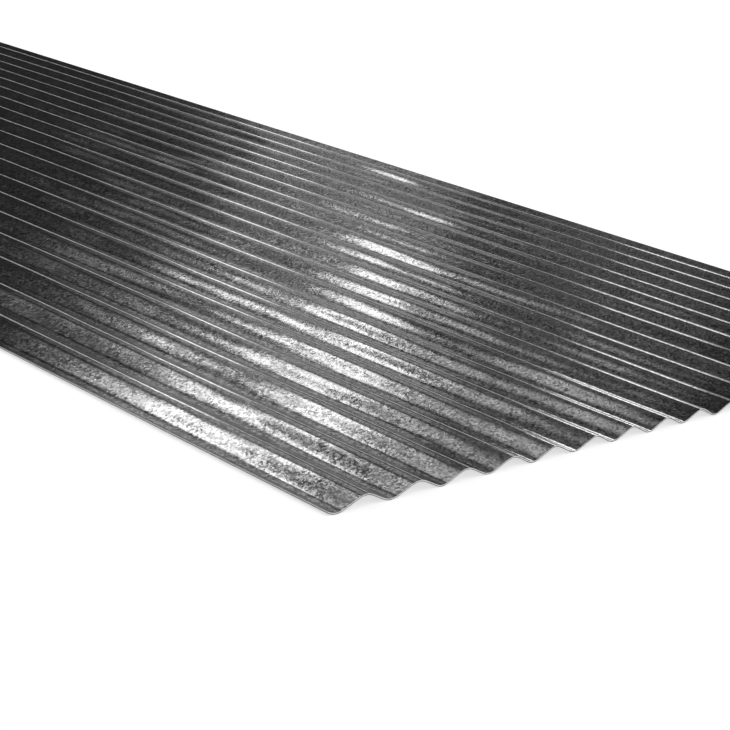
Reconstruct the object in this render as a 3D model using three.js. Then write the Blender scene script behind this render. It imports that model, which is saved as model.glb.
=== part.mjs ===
// Corrugated sheet: one roll-formed piece of galvanised steel, lying level on its valleys.
// Its waves run along +Y, +X crosses them, +Z is up, and the origin is on the floor under its middle.
import * as THREE from "three";

// Driving dimensions, in millimetres.
const PITCH = 31.75; // from crest to crest, 1-1/4 in
const RISE = 5; // from valley to crest on one face
const THICKNESS = 0.7; // 24 gauge steel with its zinc
const BEND_RADIUS = 10; // of every crest and valley, at mid thickness
const LENGTH = 1219.2; // cut length along the waves, 4 ft
const CREST_COUNT = 19; // between the first valley and the last
const DOWN_EDGE_FLANK = 1.2; // straight strip past the first valley's bend, which turns the low edge up
const UP_EDGE_FLANK = 7.8; // straight strip past the last valley's bend, which ends just under crest height

// An odd number of flats makes each bend, so that a level one lies along every crest and valley.
const FLATS_PER_BEND = 9;

// Neighbouring bends share each flank as their common inner tangent.
const HALF_PITCH = PITCH / 2;
const CENTRES_DROP = 2 * BEND_RADIUS - RISE; // from a valley's bend centre down to a crest's
const CENTRES_APART = Math.hypot(HALF_PITCH, CENTRES_DROP);
const FLANK_LENGTH = Math.sqrt(CENTRES_APART ** 2 - (2 * BEND_RADIUS) ** 2);
const FLANK_ANGLE = Math.atan2(2 * BEND_RADIUS, FLANK_LENGTH) - Math.atan2(CENTRES_DROP, HALF_PITCH);

// The valleys' level flats lie on the floor.
const OUTER_RADIUS = BEND_RADIUS + THICKNESS / 2;
const VALLEY_CENTRE_Z = OUTER_RADIUS * Math.cos(FLANK_ANGLE / FLATS_PER_BEND);
const CREST_CENTRE_Z = VALLEY_CENTRE_Z - CENTRES_DROP;

// Bends are numbered along +X: the even ones are valleys and the odd ones crests.
const LAST_BEND = 2 * CREST_COUNT;

// One face of one bend, from left to right. The face lies faceOffset above mid thickness.
function bendPoints(bend, faceOffset) {
  const crest = bend % 2 === 1;
  const radius = crest ? BEND_RADIUS + faceOffset : BEND_RADIUS - faceOffset;
  const centreZ = crest ? CREST_CENTRE_Z : VALLEY_CENTRE_Z;
  const middle = crest ? Math.PI / 2 : -Math.PI / 2;
  const turn = crest ? FLANK_ANGLE : -FLANK_ANGLE;
  const arc = new THREE.EllipseCurve(
    bend * HALF_PITCH, centreZ, radius, radius, middle + turn, middle - turn, crest,
  );
  return arc.getPoints(FLATS_PER_BEND);
}

// One face of the whole section, from the down edge to the up edge, with its two edge strips.
function facePoints(faceOffset) {
  const bends = [];
  for (let bend = 0; bend <= LAST_BEND; bend += 1) {
    bends.push(...bendPoints(bend, faceOffset));
  }
  const alongFlank = new THREE.Vector2(Math.cos(FLANK_ANGLE), Math.sin(FLANK_ANGLE));
  const upEdge = bends.at(-1).clone().addScaledVector(alongFlank, UP_EDGE_FLANK);
  const awayFromFlank = new THREE.Vector2(-alongFlank.x, alongFlank.y);
  const downEdge = bends[0].clone().addScaledVector(awayFromFlank, DOWN_EDGE_FLANK);
  return [downEdge, ...bends, upEdge];
}

// The section drawn flat, with its height along the shape's y.
function sheetSection() {
  const top = facePoints(THICKNESS / 2);
  const underside = facePoints(-THICKNESS / 2);
  return new THREE.Shape([...top, ...underside.reverse()]);
}

const galvanised = new THREE.MeshStandardMaterial({ color: 0x85888a, roughness: 0.38, metalness: 1 });

// The section is extruded along the shape's z, then turned so that its height points up.
function corrugatedSheet() {
  const geometry = new THREE.ExtrudeGeometry(sheetSection(), { depth: LENGTH, bevelEnabled: false });
  geometry.computeBoundingBox();
  const { min, max } = geometry.boundingBox;
  const sheet = new THREE.Mesh(geometry, galvanised);
  sheet.name = "corrugated_sheet";
  sheet.rotation.x = Math.PI / 2;
  sheet.position.set(-(min.x + max.x) / 2, LENGTH / 2, 0);
  return sheet;
}

const part = new THREE.Group();
part.add(corrugatedSheet());

export default part;
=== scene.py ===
import math

import bpy
from mathutils import Matrix, Vector


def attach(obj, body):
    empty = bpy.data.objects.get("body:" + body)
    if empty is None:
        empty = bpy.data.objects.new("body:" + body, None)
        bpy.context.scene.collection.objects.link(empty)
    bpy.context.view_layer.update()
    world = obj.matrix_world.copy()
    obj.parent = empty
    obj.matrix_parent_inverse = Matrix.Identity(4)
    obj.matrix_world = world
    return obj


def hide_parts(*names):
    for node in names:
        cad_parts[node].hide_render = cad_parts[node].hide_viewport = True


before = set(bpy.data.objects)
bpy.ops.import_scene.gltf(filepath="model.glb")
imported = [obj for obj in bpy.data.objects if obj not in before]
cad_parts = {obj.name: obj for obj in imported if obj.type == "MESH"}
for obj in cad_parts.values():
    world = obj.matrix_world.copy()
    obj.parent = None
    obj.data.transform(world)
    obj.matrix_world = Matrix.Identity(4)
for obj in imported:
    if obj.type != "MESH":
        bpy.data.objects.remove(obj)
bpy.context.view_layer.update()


# Corrugated sheet: one length of thin steel, dipped in zinc and then rolled into even round waves.
# It lies loose on the floor on its valleys. One long edge turns up past the first valley, and the
# other climbs the side of a last wave and stops just short of its crest.
PITCH = 0.03175
RISE = 0.005
THICKNESS = 0.0007
BEND_RADIUS = 0.010  # at mid thickness
LENGTH = 1.2192
CREST_COUNT = 19
DOWN_EDGE_FLANK = 0.0012
UP_EDGE_FLANK = 0.0078

# How finely the bends, the flanks between them, the edge past the last one and the length are divided.
STEPS_PER_BEND = 8
STEPS_PER_FLANK = 4
STEPS_UP_EDGE = 2
STEPS_ALONG = 100

# The flanks aren't quite flat: they bow this far each way as they ease into the bends.
FLANK_EASE = 0.00004

# The rolls leave the waves slightly uneven. Each wave loses a share of its rise and drifts sideways,
# and both change over these distances across and along the sheet. The drift fades out at the long
# edges, so that the sheet keeps its width.
RISE_LOSS_LEAST = 0.008
RISE_LOSS_MOST = 0.1
RISE_LOSS_ACROSS = 0.035
RISE_LOSS_ALONG = 0.16
RISE_LOSS_SEED = 3.0
DRIFT = 0.004
DRIFT_ACROSS = 0.025
DRIFT_ALONG = 0.14
DRIFT_SEED = 11.0
DRIFT_FADE = 0.05
ROLLER_DETAIL = 2.0

# Points this near are welded, and corners past this many degrees stay sharp.
WELD_DISTANCE = 1e-6
SHARP_DEGREES = 40

# What the sheet's Geometry Nodes are given: name, kind of socket and value.
WAVE_INPUTS = (
    ("Pitch", "Float", PITCH),
    ("Rise", "Float", RISE),
    ("Thickness", "Float", THICKNESS),
    ("Bend Radius", "Float", BEND_RADIUS),
    ("Length", "Float", LENGTH),
    ("Crests", "Int", CREST_COUNT),
    ("Down Edge Flank", "Float", DOWN_EDGE_FLANK),
    ("Up Edge Flank", "Float", UP_EDGE_FLANK),
    ("Flank Ease", "Float", FLANK_EASE),
    ("Steps per Bend", "Int", STEPS_PER_BEND),
    ("Steps per Flank", "Int", STEPS_PER_FLANK),
    ("Steps up Edge", "Int", STEPS_UP_EDGE),
    ("Steps Along", "Int", STEPS_ALONG),
    ("Rise Loss Least", "Float", RISE_LOSS_LEAST),
    ("Rise Loss Most", "Float", RISE_LOSS_MOST),
    ("Drift", "Float", DRIFT),
)


def feed(tree, socket, value):
    """Links one socket to another, or sets it to a plain value."""
    if isinstance(value, bpy.types.NodeSocket):
        tree.links.new(value, socket)
    else:
        socket.default_value = value


def number_node(tree, operation, *values):
    """Adds one Math node fed by sockets or plain numbers, and returns its result."""
    node = tree.nodes.new("ShaderNodeMath")
    node.operation = operation
    for socket, value in zip(node.inputs, values):
        feed(tree, socket, value)
    return node.outputs[0]


def rolled_waves_tree(face_material, edge_material):
    """Geometry Nodes: a grid bent into arcs joined by their common tangents, then made thick."""
    tree = bpy.data.node_groups.new("rolled_waves", "GeometryNodeTree")
    sockets = {}
    for name, kind, _ in WAVE_INPUTS:
        made = tree.interface.new_socket(name=name, in_out="INPUT", socket_type="NodeSocket" + kind)
        sockets[name] = made.identifier
    tree.interface.new_socket(name="Geometry", in_out="OUTPUT", socket_type="NodeSocketGeometry")
    given = tree.nodes.new("NodeGroupInput").outputs
    link = tree.links.new

    def calc(operation, *values):
        return number_node(tree, operation, *values)

    # The section at mid thickness. The centres of two bends stand half a pitch apart across and the
    # drop apart in height, and the flank touches both bends, which gives its length and its angle.
    half_pitch = calc("MULTIPLY", given["Pitch"], 0.5)
    two_radii = calc("MULTIPLY", given["Bend Radius"], 2.0)
    centres_drop = calc("SUBTRACT", two_radii, given["Rise"])
    apart_squared = calc("ADD", calc("POWER", half_pitch, 2.0), calc("POWER", centres_drop, 2.0))
    flank_length = calc("SQRT", calc("SUBTRACT", apart_squared, calc("POWER", two_radii, 2.0)))
    angle_to_bend = calc("ARCTAN2", two_radii, flank_length)
    angle_to_centre = calc("ARCTAN2", centres_drop, half_pitch)
    flank_angle = calc("SUBTRACT", angle_to_bend, angle_to_centre)
    flank_cos = calc("COSINE", flank_angle)
    flank_sin = calc("SINE", flank_angle)

    # The grid has one column for the down edge, then those of the bends and flanks, then the up edge's.
    steps_per_half = calc("ADD", given["Steps per Bend"], given["Steps per Flank"])
    last_bend = calc("MULTIPLY", given["Crests"], 2.0)
    last_column = calc("ADD", calc("MULTIPLY", last_bend, steps_per_half), given["Steps per Bend"])
    columns = calc("ADD", calc("ADD", last_column, given["Steps up Edge"]), 2.0)
    grid_width = calc("SUBTRACT", columns, 1.0)
    grid = tree.nodes.new("GeometryNodeMeshGrid")
    link(grid_width, grid.inputs["Size X"])
    link(given["Length"], grid.inputs["Size Y"])
    link(columns, grid.inputs["Vertices X"])
    link(calc("ADD", given["Steps Along"], 1.0), grid.inputs["Vertices Y"])

    # Each point's column, counted from the first bend, then its bend and its step within that.
    place = tree.nodes.new("ShaderNodeSeparateXYZ")
    link(tree.nodes.new("GeometryNodeInputPosition").outputs[0], place.inputs[0])
    along = place.outputs["Y"]
    from_edge = calc("ADD", place.outputs["X"], calc("MULTIPLY", grid_width, 0.5))
    column = calc("SUBTRACT", calc("ROUND", from_edge), 1.0)
    on_bends = calc("MINIMUM", calc("MAXIMUM", column, 0.0), last_column)
    bend = calc("FLOOR", calc("DIVIDE", calc("ADD", on_bends, 0.5), steps_per_half))
    step = calc("SUBTRACT", on_bends, calc("MULTIPLY", bend, steps_per_half))
    is_crest = calc("MODULO", bend, 2.0)
    up_sign = calc("SUBTRACT", 1.0, calc("MULTIPLY", is_crest, 2.0))

    # How far round its bend a point is, how far up the flank after it, and how far out on an edge.
    steps_round = calc("MINIMUM", step, given["Steps per Bend"])
    bend_share = calc("DIVIDE", steps_round, given["Steps per Bend"])
    turn = calc("MULTIPLY", flank_angle, calc("SUBTRACT", calc("MULTIPLY", bend_share, 2.0), 1.0))
    steps_past_bend = calc("MAXIMUM", calc("SUBTRACT", step, given["Steps per Bend"]), 0.0)
    flank_share = calc("DIVIDE", steps_past_bend, given["Steps per Flank"])
    up_flank = calc("MULTIPLY", flank_share, flank_length)
    before_first = calc("MAXIMUM", calc("MULTIPLY", column, -1.0), 0.0)
    down_edge = calc("MULTIPLY", before_first, given["Down Edge Flank"])
    past_last = calc("MAXIMUM", calc("SUBTRACT", column, last_column), 0.0)
    edge_share = calc("DIVIDE", past_last, given["Steps up Edge"])
    up_edge = calc("MULTIPLY", edge_share, given["Up Edge Flank"])
    straight = calc("ADD", calc("SUBTRACT", up_flank, down_edge), up_edge)
    climb = calc("ADD", calc("MULTIPLY", up_flank, up_sign), calc("ADD", down_edge, up_edge))

    # The point's place at mid thickness, from the middle of the width and the middle of the rise.
    round_bend = calc("MULTIPLY", given["Bend Radius"], calc("SINE", turn))
    past_first = calc("ADD", calc("MULTIPLY", bend, half_pitch), round_bend)
    past_first = calc("ADD", past_first, calc("MULTIPLY", straight, flank_cos))
    edges_differ = calc("SUBTRACT", given["Up Edge Flank"], given["Down Edge Flank"])
    edges_differ = calc("MULTIPLY", edges_differ, flank_cos)
    first_to_last = calc("MULTIPLY", last_bend, half_pitch)
    half_span = calc("MULTIPLY", calc("ADD", first_to_last, edges_differ), 0.5)
    mid_x = calc("SUBTRACT", past_first, half_span)
    half_drop = calc("MULTIPLY", centres_drop, 0.5)
    bend_height = calc("MULTIPLY", given["Bend Radius"], calc("COSINE", turn))
    bend_height = calc("MULTIPLY", up_sign, calc("SUBTRACT", half_drop, bend_height))
    mid_z = calc("ADD", bend_height, calc("MULTIPLY", climb, flank_sin))

    # The flank's bow, square to the sheet.
    slope = calc("MULTIPLY", turn, up_sign)
    bow = calc("SINE", calc("MULTIPLY", flank_share, 2 * math.pi))
    bow = calc("MULTIPLY", given["Flank Ease"], bow)
    bow = calc("MULTIPLY", bow, calc("MULTIPLY", up_sign, -1.0))
    mid_x = calc("SUBTRACT", mid_x, calc("MULTIPLY", bow, calc("SINE", slope)))
    mid_z = calc("ADD", mid_z, calc("MULTIPLY", bow, calc("COSINE", slope)))

    # The rolls' unevenness.
    spot = tree.nodes.new("ShaderNodeCombineXYZ")
    link(mid_x, spot.inputs["X"])
    link(along, spot.inputs["Y"])

    def roller_noise(across, lengthwise, seed):
        stretch = tree.nodes.new("ShaderNodeVectorMath")
        stretch.operation = "MULTIPLY"
        link(spot.outputs[0], stretch.inputs[0])
        stretch.inputs[1].default_value = (1 / across, 1 / lengthwise, 0)
        noise = tree.nodes.new("ShaderNodeTexNoise")
        noise.noise_dimensions = "4D"
        noise.inputs["W"].default_value = seed
        noise.inputs["Scale"].default_value = 1.0
        noise.inputs["Detail"].default_value = ROLLER_DETAIL
        link(stretch.outputs[0], noise.inputs["Vector"])
        return noise.outputs[0]

    loss_noise = roller_noise(RISE_LOSS_ACROSS, RISE_LOSS_ALONG, RISE_LOSS_SEED)
    loss_range = calc("SUBTRACT", given["Rise Loss Most"], given["Rise Loss Least"])
    loss = calc("ADD", given["Rise Loss Least"], calc("MULTIPLY", loss_noise, loss_range))
    kept = calc("SUBTRACT", 1.0, loss)

    inside_edge = calc("SUBTRACT", half_span, calc("ABSOLUTE", mid_x))
    edge_room = calc("MINIMUM", calc("MULTIPLY", inside_edge, 1 / DRIFT_FADE), 1.0)
    edge_room = calc("MAXIMUM", edge_room, 0.0)
    drift_noise = calc("SUBTRACT", roller_noise(DRIFT_ACROSS, DRIFT_ALONG, DRIFT_SEED), 0.5)
    drift = calc("MULTIPLY", calc("MULTIPLY", drift_noise, given["Drift"]), edge_room)

    # The lower face, half the thickness under the middle, with its lowest valleys on the floor.
    normal_x = calc("MULTIPLY", calc("SINE", slope), -1.0)
    normal_z = calc("COSINE", slope)
    half_thickness = calc("MULTIPLY", given["Thickness"], 0.5)
    floor_height = calc("ADD", calc("MULTIPLY", given["Rise"], 0.5), half_thickness)
    lower_x = calc("SUBTRACT", mid_x, calc("MULTIPLY", normal_x, half_thickness))
    lower_z = calc("SUBTRACT", mid_z, calc("MULTIPLY", normal_z, half_thickness))
    lower = tree.nodes.new("ShaderNodeCombineXYZ")
    link(calc("ADD", lower_x, drift), lower.inputs["X"])
    link(along, lower.inputs["Y"])
    link(calc("ADD", calc("MULTIPLY", lower_z, kept), floor_height), lower.inputs["Z"])

    # The way to the upper face is kept on the points, because the columns can't be counted once the
    # grid is bent.
    normal = tree.nodes.new("ShaderNodeCombineXYZ")
    link(normal_x, normal.inputs["X"])
    link(normal_z, normal.inputs["Z"])
    through = tree.nodes.new("ShaderNodeVectorMath")
    through.operation = "SCALE"
    link(normal.outputs[0], through.inputs[0])
    link(calc("MULTIPLY", given["Thickness"], kept), through.inputs["Scale"])
    stored = tree.nodes.new("GeometryNodeStoreNamedAttribute")
    stored.data_type = "FLOAT_VECTOR"
    stored.inputs["Name"].default_value = "through_sheet"
    link(grid.outputs["Mesh"], stored.inputs["Geometry"])
    link(through.outputs[0], stored.inputs["Value"])
    bent = tree.nodes.new("GeometryNodeSetPosition")
    link(stored.outputs[0], bent.inputs["Geometry"])
    link(lower.outputs[0], bent.inputs["Position"])

    # The upper face and the cut rim, with a mark on the upper face that fades down the rim.
    through_again = tree.nodes.new("GeometryNodeInputNamedAttribute")
    through_again.data_type = "FLOAT_VECTOR"
    through_again.inputs["Name"].default_value = "through_sheet"
    raised = tree.nodes.new("GeometryNodeExtrudeMesh")
    raised.mode = "FACES"
    raised.inputs["Individual"].default_value = False
    raised.inputs["Offset Scale"].default_value = 1.0
    link(bent.outputs[0], raised.inputs["Mesh"])
    link(through_again.outputs["Attribute"], raised.inputs["Offset"])
    marked = tree.nodes.new("GeometryNodeStoreNamedAttribute")
    marked.data_type = "FLOAT"
    marked.inputs["Name"].default_value = "up_the_edge"
    marked.inputs["Value"].default_value = 1.0
    link(raised.outputs["Mesh"], marked.inputs["Geometry"])
    link(raised.outputs["Top"], marked.inputs["Selection"])
    upper_face = tree.nodes.new("GeometryNodeSetMaterial")
    upper_face.inputs["Material"].default_value = face_material
    link(marked.outputs[0], upper_face.inputs["Geometry"])
    rim = tree.nodes.new("GeometryNodeSetMaterial")
    rim.inputs["Material"].default_value = edge_material
    link(upper_face.outputs[0], rim.inputs["Geometry"])
    link(raised.outputs["Side"], rim.inputs["Selection"])

    # The underside, turned to face outwards and welded to the rim.
    under = tree.nodes.new("GeometryNodeFlipFaces")
    link(bent.outputs[0], under.inputs[0])
    under_face = tree.nodes.new("GeometryNodeSetMaterial")
    under_face.inputs["Material"].default_value = face_material
    link(under.outputs[0], under_face.inputs["Geometry"])
    both = tree.nodes.new("GeometryNodeJoinGeometry")
    link(rim.outputs[0], both.inputs[0])
    link(under_face.outputs[0], both.inputs[0])
    welded = tree.nodes.new("GeometryNodeMergeByDistance")
    welded.inputs["Distance"].default_value = WELD_DISTANCE
    link(both.outputs[0], welded.inputs["Geometry"])
    cleaned = tree.nodes.new("GeometryNodeRemoveAttribute")
    cleaned.inputs["Name"].default_value = "through_sheet"
    link(welded.outputs[0], cleaned.inputs["Geometry"])
    real = tree.nodes.new("GeometryNodeRealizeInstances")
    link(cleaned.outputs[0], real.inputs[0])
    out = tree.nodes.new("NodeGroupOutput")
    link(real.outputs[0], out.inputs[0])
    return tree, sockets


def vector_node(tree, operation, *values):
    """Adds one Vector Math node fed by sockets or plain vectors, and returns its result."""
    node = tree.nodes.new("ShaderNodeVectorMath")
    node.operation = operation
    for socket, value in zip(node.inputs, values):
        feed(tree, socket, value)
    return node.outputs[0]


def scaled(tree, vector, amount):
    """Scales a vector by a number or a socket."""
    node = tree.nodes.new("ShaderNodeVectorMath")
    node.operation = "SCALE"
    feed(tree, node.inputs[0], vector)
    feed(tree, node.inputs["Scale"], amount)
    return node.outputs[0]


def ranged(tree, value, start, end, low=0.0, high=1.0, kind="LINEAR"):
    """Adds one Map Range node: low up to start, high from end on."""
    node = tree.nodes.new("ShaderNodeMapRange")
    node.interpolation_type = kind
    feed(tree, node.inputs["Value"], value)
    for name, number in (("From Min", start), ("From Max", end), ("To Min", low), ("To Max", high)):
        node.inputs[name].default_value = number
    return node.outputs[0]


def mixed(tree, kind, share, a, b):
    """Adds one Mix node between two sockets or plain values, and returns its result."""
    node = tree.nodes.new("ShaderNodeMix")
    node.data_type = kind
    ends = [i for i in node.inputs if i.enabled and i.name in ("A", "B")]
    for socket, value in ((node.inputs[0], share), (ends[0], a), (ends[1], b)):
        feed(tree, socket, value)
    return [o for o in node.outputs if o.enabled][0]


def noise_node(tree, place, scale, detail):
    """Adds one Noise Texture node, and returns its outputs."""
    node = tree.nodes.new("ShaderNodeTexNoise")
    feed(tree, node.inputs["Vector"], place)
    feed(tree, node.inputs["Scale"], scale)
    node.inputs["Detail"].default_value = detail
    return node.outputs


def cell_colour(tree, place, scale):
    """Adds one Voronoi Texture node, and returns the colour that each cell has to itself."""
    node = tree.nodes.new("ShaderNodeTexVoronoi")
    feed(tree, node.inputs["Vector"], place)
    feed(tree, node.inputs["Scale"], scale)
    return node.outputs["Color"]


def red_of(tree, colour):
    """The first channel of a colour, as a number."""
    node = tree.nodes.new("ShaderNodeSeparateColor")
    feed(tree, node.inputs[0], colour)
    return node.outputs[0]


def object_place(tree):
    """The place on the object, in metres."""
    return tree.nodes.new("ShaderNodeTexCoord").outputs["Object"]


def place_over(tree, across, along):
    """The place on the sheet, counted in one size across the waves and in another along them."""
    place = tree.nodes.new("ShaderNodeSeparateXYZ")
    tree.links.new(object_place(tree), place.inputs[0])
    divided = tree.nodes.new("ShaderNodeCombineXYZ")
    tree.links.new(number_node(tree, "DIVIDE", place.outputs["X"], across), divided.inputs["X"])
    tree.links.new(number_node(tree, "DIVIDE", place.outputs["Y"], along), divided.inputs["Y"])
    return divided.outputs[0]


def leaned(tree, normal, lean):
    """Leans a normal by a small vector."""
    return vector_node(tree, "NORMALIZE", vector_node(tree, "ADD", normal, lean))


def effect_group(name, given, made):
    """An empty shader group with named inputs and outputs."""
    group = bpy.data.node_groups.new(name, "ShaderNodeTree")
    for names, in_out in ((given, "INPUT"), (made, "OUTPUT")):
        for label, kind in names:
            group.interface.new_socket(name=label, in_out=in_out, socket_type="NodeSocket" + kind)
    ins = group.nodes.new("NodeGroupInput").outputs
    return group, ins, group.nodes.new("NodeGroupOutput").inputs


def place_group(tree, group, values):
    """Places a shader group in a material with its own values, and returns its outputs."""
    node = tree.nodes.new("ShaderNodeGroup")
    node.node_tree = group
    for name, value in values.items():
        feed(tree, node.inputs[name], value)
    return node.outputs


# Zinc freezes into crystals. Larger ones lie among the fine ones, and in some patches both show only
# this share of their tone and tilt.
MIDDLE = (0.5, 0.5, 0.5)
COARSE_SCALE = 0.43
COARSE_SHARE = 0.25
PATCH_DETAIL = 3.0
FAINT_SHARE = 0.55
FAINT_UNTIL = 0.4
PLAIN_FROM = 0.52


def zinc_grain_group():
    """Shader group: zinc crystals, each with its own tone and tilt, plainer in some patches."""
    group, given, out = effect_group(
        "zinc_grain",
        (("Normal", "Vector"), ("Grain Size", "Float"), ("Tilt", "Float"), ("Patch Size", "Float")),
        (("Tone", "Float"), ("Patch", "Float"), ("Normal", "Vector")),
    )
    place = object_place(group)
    patch_scale = number_node(group, "DIVIDE", 1.0, given["Patch Size"])
    patch = noise_node(group, place, patch_scale, PATCH_DETAIL)[0]
    group.links.new(patch, out["Patch"])
    showing = ranged(group, patch, FAINT_UNTIL, PLAIN_FROM, low=FAINT_SHARE)

    fine_scale = number_node(group, "DIVIDE", 1.0, given["Grain Size"])
    fine = cell_colour(group, place, fine_scale)
    coarse = cell_colour(group, place, number_node(group, "MULTIPLY", fine_scale, COARSE_SCALE))
    coarse_tone = number_node(group, "MULTIPLY", red_of(group, coarse), COARSE_SHARE)
    tone = number_node(group, "ADD", red_of(group, fine), coarse_tone)
    tone = number_node(group, "SUBTRACT", tone, (1 + COARSE_SHARE) / 2)
    tone = number_node(group, "MULTIPLY", tone, showing)
    group.links.new(number_node(group, "ADD", tone, 0.5), out["Tone"])

    most = number_node(group, "MULTIPLY", given["Tilt"], showing)
    lean = scaled(group, vector_node(group, "SUBTRACT", fine, MIDDLE), most)
    group.links.new(leaned(group, given["Normal"], lean), out["Normal"])
    return group


# The rolls leave their own marks under the crystals.
LINE_DETAIL = 3.0
CHATTER_DETAIL = 2.0


def roll_lines_group():
    """Shader group: fine lines that the rolls draw along the waves, leaning the surface sideways only."""
    group, given, out = effect_group(
        "roll_lines",
        (("Normal", "Vector"), ("Line Width", "Float"), ("Line Length", "Float"), ("Tilt", "Float")),
        (("Streak", "Float"), ("Normal", "Vector")),
    )
    place = place_over(group, given["Line Width"], given["Line Length"])
    streak = noise_node(group, place, 1.0, LINE_DETAIL)[0]
    group.links.new(streak, out["Streak"])
    sideways = number_node(group, "SUBTRACT", streak, 0.5)
    lean = group.nodes.new("ShaderNodeCombineXYZ")
    group.links.new(number_node(group, "MULTIPLY", sideways, given["Tilt"]), lean.inputs["X"])
    group.links.new(leaned(group, given["Normal"], lean.outputs[0]), out["Normal"])
    return group


def roll_chatter_group():
    """Shader group: slow uneven leaning of the surface, left where the sheet shook between the rolls."""
    group, given, out = effect_group(
        "roll_chatter",
        (("Normal", "Vector"), ("Width", "Float"), ("Length", "Float"), ("Tilt", "Float")),
        (("Normal", "Vector"),),
    )
    place = place_over(group, given["Width"], given["Length"])
    shake = noise_node(group, place, 1.0, CHATTER_DETAIL)["Color"]
    lean = scaled(group, vector_node(group, "SUBTRACT", shake, MIDDLE), given["Tilt"])
    group.links.new(leaned(group, given["Normal"], lean), out["Normal"])
    return group


# The faces: grey zinc, mottled crystal by crystal. The rolls rub the crests, and the floor scuffs the
# valleys, which makes both more even than the flanks.
GRAIN_SIZE = 0.001
GRAIN_TILT = 0.009
PATCH_SIZE = 0.008
GRAIN_CONTRAST = 0.9
PATCH_CONTRAST = 0.2
CHATTER_WIDTH = 0.012
CHATTER_LENGTH = 0.07
CHATTER_TILT = 0.08
LINE_WIDTH = 0.0014
LINE_LENGTH = 0.35
LINE_TILT = 0.02
ZINC_DARK = (0.06, 0.06, 0.06, 1)
ZINC_LIGHT = (0.58, 0.58, 0.585, 1)
ZINC_EVEN = (0.31, 0.31, 0.312, 1)
EVENED_SHARE = 0.2
ZINC_ROUGHNESS = 0.115
ROUGHER_WHERE_LIGHT = 0.045
RUBBED_ROUGHNESS = 0.145

# Heights between which the rubbing and the scuffing fade, and how far the roll lines shift them.
RUBBED_FROM = 0.0048
RUBBED_FULL = 0.0056
SCUFFED_FROM = 0.0009
SCUFFED_FULL = 0.0006
RAGGED_HEIGHT = 0.0012


def face_finish(grain_group, lines_group, chatter_group):
    """Zinc on the flat of the sheet: fine grain, with the crests and valleys rubbed smooth."""
    material = bpy.data.materials.new("galvanised_face")
    material.use_nodes = True
    tree = material.node_tree
    shader = tree.nodes["Principled BSDF"]
    link = tree.links.new
    shader.inputs["Metallic"].default_value = 1.0

    plain = tree.nodes.new("ShaderNodeNewGeometry").outputs["Normal"]
    chatter = {"Normal": plain, "Width": CHATTER_WIDTH, "Length": CHATTER_LENGTH, "Tilt": CHATTER_TILT}
    shaken = place_group(tree, chatter_group, chatter)["Normal"]
    lines = {"Normal": shaken, "Line Width": LINE_WIDTH, "Line Length": LINE_LENGTH, "Tilt": LINE_TILT}
    lined = place_group(tree, lines_group, lines)

    place = tree.nodes.new("ShaderNodeSeparateXYZ")
    link(object_place(tree), place.inputs[0])
    shift = number_node(tree, "MULTIPLY", lined["Streak"], RAGGED_HEIGHT)
    height = number_node(tree, "ADD", place.outputs["Z"], shift)
    rubbed = ranged(tree, height, RUBBED_FROM, RUBBED_FULL, kind="SMOOTHSTEP")
    scuffed = ranged(tree, height, SCUFFED_FROM, SCUFFED_FULL, kind="SMOOTHSTEP")
    worn_smooth = number_node(tree, "MAXIMUM", rubbed, scuffed)

    normal = mixed(tree, "VECTOR", worn_smooth, shaken, lined["Normal"])
    crystals = {"Normal": normal, "Grain Size": GRAIN_SIZE, "Tilt": GRAIN_TILT, "Patch Size": PATCH_SIZE}
    grain = place_group(tree, grain_group, crystals)
    grain_tone = number_node(tree, "MULTIPLY", grain["Tone"], GRAIN_CONTRAST)
    patch_tone = number_node(tree, "MULTIPLY", grain["Patch"], PATCH_CONTRAST)
    tone = number_node(tree, "ADD", grain_tone, patch_tone)
    tone = number_node(tree, "SUBTRACT", tone, (GRAIN_CONTRAST + PATCH_CONTRAST - 1) / 2)

    mottled = mixed(tree, "RGBA", tone, ZINC_DARK, ZINC_LIGHT)
    evened = mixed(tree, "RGBA", EVENED_SHARE, mottled, ZINC_EVEN)
    link(mixed(tree, "RGBA", worn_smooth, mottled, evened), shader.inputs["Base Color"])
    rougher = number_node(tree, "MULTIPLY", grain["Tone"], ROUGHER_WHERE_LIGHT)
    rough = number_node(tree, "ADD", ZINC_ROUGHNESS, rougher)
    link(mixed(tree, "FLOAT", worn_smooth, rough, RUBBED_ROUGHNESS), shader.inputs["Roughness"])
    link(grain["Normal"], shader.inputs["Normal"])
    return material


# The sheared edge: the blade cuts the upper part bright and tears the steel below it rough; the torn part
# is also painted near black, a painted shade line under the edge.
EDGE_GRAIN_SIZE = 0.0003
EDGE_GRAIN_TILT = 0.3
EDGE_PATCH_SIZE = 0.0015
CUT_FROM = 0.42
CUT_FULL = 0.52
CUT_RAGGED = 0.5
# The torn colours are partly painted shade: they darken the lower rim to stand for the shadow line under
# the edge.
TORN_AND_SHADE_DARK = (0.05, 0.048, 0.046, 1)
TORN_AND_SHADE_LIGHT = (0.18, 0.175, 0.17, 1)
CUT_DARK = (0.58, 0.58, 0.58, 1)
CUT_LIGHT = (0.74, 0.74, 0.74, 1)
TORN_ROUGHNESS = 0.62
CUT_ROUGHNESS = 0.34


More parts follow.
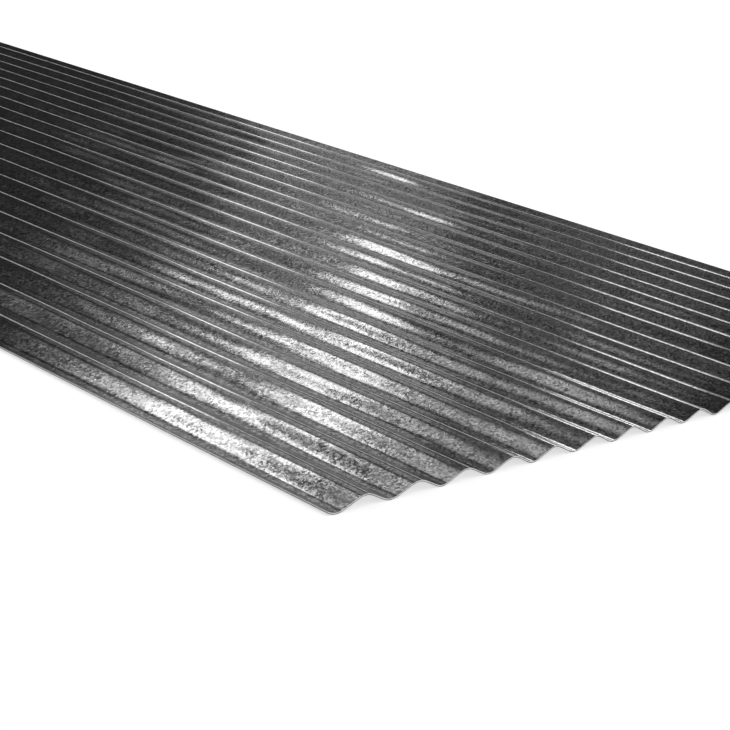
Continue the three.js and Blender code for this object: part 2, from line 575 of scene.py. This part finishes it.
def edge_finish(grain_group):
    """Bare steel on the rim, from torn and painted dark as a shade line at the bottom to cut at the top.
    """
    material = bpy.data.materials.new("sheared_edge")
    material.use_nodes = True
    tree = material.node_tree
    shader = tree.nodes["Principled BSDF"]
    link = tree.links.new
    shader.inputs["Metallic"].default_value = 1.0

    plain = tree.nodes.new("ShaderNodeNewGeometry").outputs["Normal"]
    torn_grain = {
        "Normal": plain,
        "Grain Size": EDGE_GRAIN_SIZE,
        "Tilt": EDGE_GRAIN_TILT,
        "Patch Size": EDGE_PATCH_SIZE,
    }
    grain = place_group(tree, grain_group, torn_grain)
    up = tree.nodes.new("ShaderNodeAttribute")
    up.attribute_name = "up_the_edge"
    shift = number_node(tree, "SUBTRACT", grain["Patch"], 0.5)
    shift = number_node(tree, "MULTIPLY", shift, CUT_RAGGED)
    ragged = number_node(tree, "ADD", up.outputs["Fac"], shift)
    cut = ranged(tree, ragged, CUT_FROM, CUT_FULL, kind="SMOOTHSTEP")

    torn_and_shade_colour = mixed(tree, "RGBA", grain["Tone"], TORN_AND_SHADE_DARK, TORN_AND_SHADE_LIGHT)
    cut_colour = mixed(tree, "RGBA", grain["Tone"], CUT_DARK, CUT_LIGHT)
    link(mixed(tree, "RGBA", cut, torn_and_shade_colour, cut_colour), shader.inputs["Base Color"])
    link(mixed(tree, "FLOAT", cut, TORN_ROUGHNESS, CUT_ROUGHNESS), shader.inputs["Roughness"])
    link(mixed(tree, "VECTOR", cut, grain["Normal"], plain), shader.inputs["Normal"])
    return material


grain_group = zinc_grain_group()
galvanised_face = face_finish(grain_group, roll_lines_group(), roll_chatter_group())
sheared_edge = edge_finish(grain_group)

waves, wave_sockets = rolled_waves_tree(galvanised_face, sheared_edge)
maker = bpy.data.objects.new("sheet_maker", bpy.data.meshes.new("sheet_maker"))
bpy.context.scene.collection.objects.link(maker)
rolled = maker.modifiers.new("rolled_waves", "NODES")
rolled.node_group = waves
for name, _, value in WAVE_INPUTS:
    rolled[wave_sockets[name]] = value
seen = bpy.context.evaluated_depsgraph_get()
sheet_mesh = bpy.data.meshes.new_from_object(maker.evaluated_get(seen))
bpy.data.objects.remove(maker)
sheet_mesh.name = "galvanised_sheet"
# The grid brings an empty slot of its own ahead of the two finishes.
if sheet_mesh.materials[0] is None:
    sheet_mesh.materials.pop(index=0)
sheet_mesh.shade_smooth()
sheet_mesh.set_sharp_from_angle(angle=math.radians(SHARP_DEGREES))
sheet = bpy.data.objects.new("galvanised_sheet", sheet_mesh)
bpy.context.scene.collection.objects.link(sheet)

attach(sheet, "root")
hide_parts("corrugated_sheet")


# Studio floor: one big round of pale matt paper, which the sheet lies on and throws its shadow on.
# It is laid flat and turned up round the rim into a low wall. The camera and the mirroring metal see
# it glow, so that it shows white without lighting the sheet.
FLOOR_RINGS = (1.0, 3.0, 9.0)
WALL_REACH = 10.5
WALL_HEIGHT = 1.3
WALL_STEPS = 16
AROUND = 96
PAPER_COLOUR = (0.55, 0.55, 0.55, 1)
PAPER_GLOW = 0.6

rings = [(radius, 0.0) for radius in FLOOR_RINGS]
for i in range(1, WALL_STEPS + 1):
    a = i / WALL_STEPS * math.pi / 2
    out = FLOOR_RINGS[-1] + (WALL_REACH - FLOOR_RINGS[-1]) * math.sin(a)
    rings.append((out, WALL_HEIGHT * (1 - math.cos(a))))
verts = [(0.0, 0.0, 0.0)]
for r, z in rings:
    for j in range(AROUND):
        t = 2 * math.pi * j / AROUND
        verts.append((r * math.cos(t), r * math.sin(t), z))
faces = [(0, 1 + j, 1 + (j + 1) % AROUND) for j in range(AROUND)]
for i in range(len(rings) - 1):
    a, b = 1 + i * AROUND, 1 + (i + 1) * AROUND
    for j in range(AROUND):
        k = (j + 1) % AROUND
        faces.append((a + j, b + j, b + k, a + k))
floor_mesh = bpy.data.meshes.new("studio_floor")
floor_mesh.from_pydata(verts, [], faces)
floor_mesh.shade_smooth()
floor = bpy.data.objects.new("studio_floor", floor_mesh)
bpy.context.scene.collection.objects.link(floor)

paper = bpy.data.materials.new("pale_paper")
paper.use_nodes = True
paper_tree = paper.node_tree
paper_shader = paper_tree.nodes["Principled BSDF"]
paper_shader.inputs["Base Color"].default_value = PAPER_COLOUR
paper_shader.inputs["Roughness"].default_value = 1.0
paper_shader.inputs["Specular IOR Level"].default_value = 0.0
paper_shader.inputs["Emission Color"].default_value = (1, 1, 1, 1)
ray = paper_tree.nodes.new("ShaderNodeLightPath").outputs
seen_ray = number_node(paper_tree, "ADD", ray["Is Camera Ray"], ray["Is Glossy Ray"])
seen_ray = number_node(paper_tree, "ADD", seen_ray, ray["Is Transmission Ray"])
seen_ray = number_node(paper_tree, "MINIMUM", seen_ray, 1.0)
glow = number_node(paper_tree, "MULTIPLY", seen_ray, PAPER_GLOW)
paper_tree.links.new(glow, paper_shader.inputs["Emission Strength"])
floor_mesh.materials.append(paper)


# Lamps: strips and panels hung far off, ahead of the camera, where the flanks and bends mirror them.
# Two strips make the bright streak, two more the lines along the crests, and the dim panels fill in
# between. Two softboxes, one by the camera and one to its right, keep the other sides plainly lit.
LAMP_DISTANCE = 20.0
HOLDER_DISTANCE = 5.0

# Name, degrees ahead and aside of straight up, degrees wide and long, degrees turned, brightness.
PANELS = (
    ("key_strip", 40.5, 19.2, 3.0, 8.5, -43.0, 5.4),
    ("key_strip_end", 36.6, 26.2, 2.2, 7.2, -15.0, 5.4),
    ("side_glow", 30.0, 20.0, 8.5, 12.5, 0.0, 0.8),
    ("left_glow", 45.0, 17.0, 5.0, 20.0, 0.0, 0.22),
    ("right_glow", 27.0, 26.5, 5.5, 5.5, 0.0, 0.35),
    ("mid_fill", 38.75, 54.0, 11.5, 30.0, 0.0, 0.5),
    ("gap_fill", 39.0, 34.0, 8.5, 10.0, 0.0, 0.27),
    ("crest_glow", 46.0, 54.0, 4.0, 30.0, 0.0, 0.15),
    ("crest_strip", 42.0, 76.0, 3.0, 8.0, 0.0, 3.4),
    ("side_strip", 26.5, 67.0, 5.0, 10.0, 0.0, 3.4),
    ("side_fill", 28.75, 47.0, 9.0, 30.0, 0.0, 0.13),
)

# Name, compass degrees from +Y, degrees up, degrees across, brightness.
SOFTBOXES = (
    ("camera_softbox", 231, 52, 60, 0.4),
    ("back_softbox", 135, 45, 40, 0.3),
)


def towards(azimuth, elevation):
    """The direction at a compass angle from +Y and an angle up."""
    a, e = math.radians(azimuth), math.radians(elevation)
    return Vector((math.sin(a) * math.cos(e), math.cos(a) * math.cos(e), math.sin(e)))


for name, ahead, aside, wide, long, turned, brightness in PANELS:
    a, s = math.radians(ahead), math.radians(aside)
    outward = Vector((math.cos(a) * math.sin(s), math.sin(a), math.cos(a) * math.cos(s)))
    lengthwise = Vector((math.cos(s), 0, -math.sin(s)))
    lengthwise = Matrix.Rotation(math.radians(turned), 3, outward) @ lengthwise
    lamp = bpy.data.lights.new(name, "AREA")
    lamp.shape = "RECTANGLE"
    lamp.size = 2 * LAMP_DISTANCE * math.tan(math.radians(wide / 2))
    lamp.size_y = 2 * LAMP_DISTANCE * math.tan(math.radians(long * math.cos(a) / 2))
    lamp.energy = brightness * math.pi * lamp.size * lamp.size_y
    holder = bpy.data.objects.new(name, lamp)
    turn = Matrix((lengthwise.cross(outward), lengthwise, outward)).transposed()
    holder.matrix_world = Matrix.Translation(outward * LAMP_DISTANCE) @ turn.to_4x4()
    bpy.context.scene.collection.objects.link(holder)
for name, azimuth, elevation, across, brightness in SOFTBOXES:
    lamp = bpy.data.lights.new(name, "SUN")
    lamp.angle = math.radians(across)
    lamp.energy = brightness * math.pi * math.sin(lamp.angle / 2) ** 2
    holder = bpy.data.objects.new(name, lamp)
    holder.rotation_mode = "QUATERNION"
    holder.rotation_quaternion = towards(azimuth, elevation).to_track_quat("Z", "Y")
    holder.location = towards(azimuth, elevation) * HOLDER_DISTANCE
    bpy.context.scene.collection.objects.link(holder)


# Room: an even white dome over the floor, lighter overhead than at the sides. A black cloth hangs
# ahead of the camera, and the flanks that mirror it show the metal's dark tone.
CLOTH_MIDDLE = towards(32.0, 31.0)
CLOTH_EDGE = 0.4  # as cosines of the angle from the cloth's middle
CLOTH_FULL = 0.9
CLOTH_LIGHT = 0.05
LIGHT_LOW = 0.4
LIGHT_OVERHEAD = 1.1

world = bpy.data.worlds.new("studio")
world.use_nodes = True
world_tree = world.node_tree
way = world_tree.nodes.new("ShaderNodeTexCoord").outputs["Generated"]
facing = world_tree.nodes.new("ShaderNodeVectorMath")
facing.operation = "DOT_PRODUCT"
world_tree.links.new(way, facing.inputs[0])
facing.inputs[1].default_value = CLOTH_MIDDLE
cosine = facing.outputs["Value"]
cloth = ranged(world_tree, cosine, CLOTH_EDGE, CLOTH_FULL, 1.0, CLOTH_LIGHT, "SMOOTHSTEP")
way_parts = world_tree.nodes.new("ShaderNodeSeparateXYZ")
world_tree.links.new(way, way_parts.inputs[0])
overhead = ranged(world_tree, way_parts.outputs["Z"], 0.0, 1.0, LIGHT_LOW, LIGHT_OVERHEAD)
background = world_tree.nodes["Background"].inputs
world_tree.links.new(number_node(world_tree, "MULTIPLY", cloth, overhead), background["Strength"])
background["Color"].default_value = (1, 1, 1, 1)
bpy.context.scene.world = world


# Camera: low, off the near corner, looking across the waves at a slant. It is tipped sideways, so
# that the cut end runs up to the right.
EYE = Vector((-0.738032, -0.959022, 0.221877))
VIEW_AZIMUTH = 51.2028
VIEW_DOWN = 16.3095
VIEW_ROLL = -10.0657
FOCAL_PIXELS = 1605.24
PICTURE_PIXELS = 730
SENSOR_WIDTH = 36
NEAREST, FARTHEST = 0.01, 100

forward = towards(VIEW_AZIMUTH, -VIEW_DOWN)
right = forward.cross(Vector((0, 0, 1))).normalized()
down = forward.cross(right)
c, s = math.cos(math.radians(VIEW_ROLL)), math.sin(math.radians(VIEW_ROLL))
right, down = c * right + s * down, -s * right + c * down
view = bpy.data.cameras.new("view")
view.sensor_width = SENSOR_WIDTH
view.lens = FOCAL_PIXELS * SENSOR_WIDTH / PICTURE_PIXELS
view.clip_start, view.clip_end = NEAREST, FARTHEST
camera = bpy.data.objects.new("view", view)
turn = Matrix((right, -down, -forward)).transposed()
camera.matrix_world = Matrix.Translation(EYE) @ turn.to_4x4()
bpy.context.scene.collection.objects.link(camera)
bpy.context.scene.camera = camera
bpy.context.scene.view_settings.view_transform = "Standard"
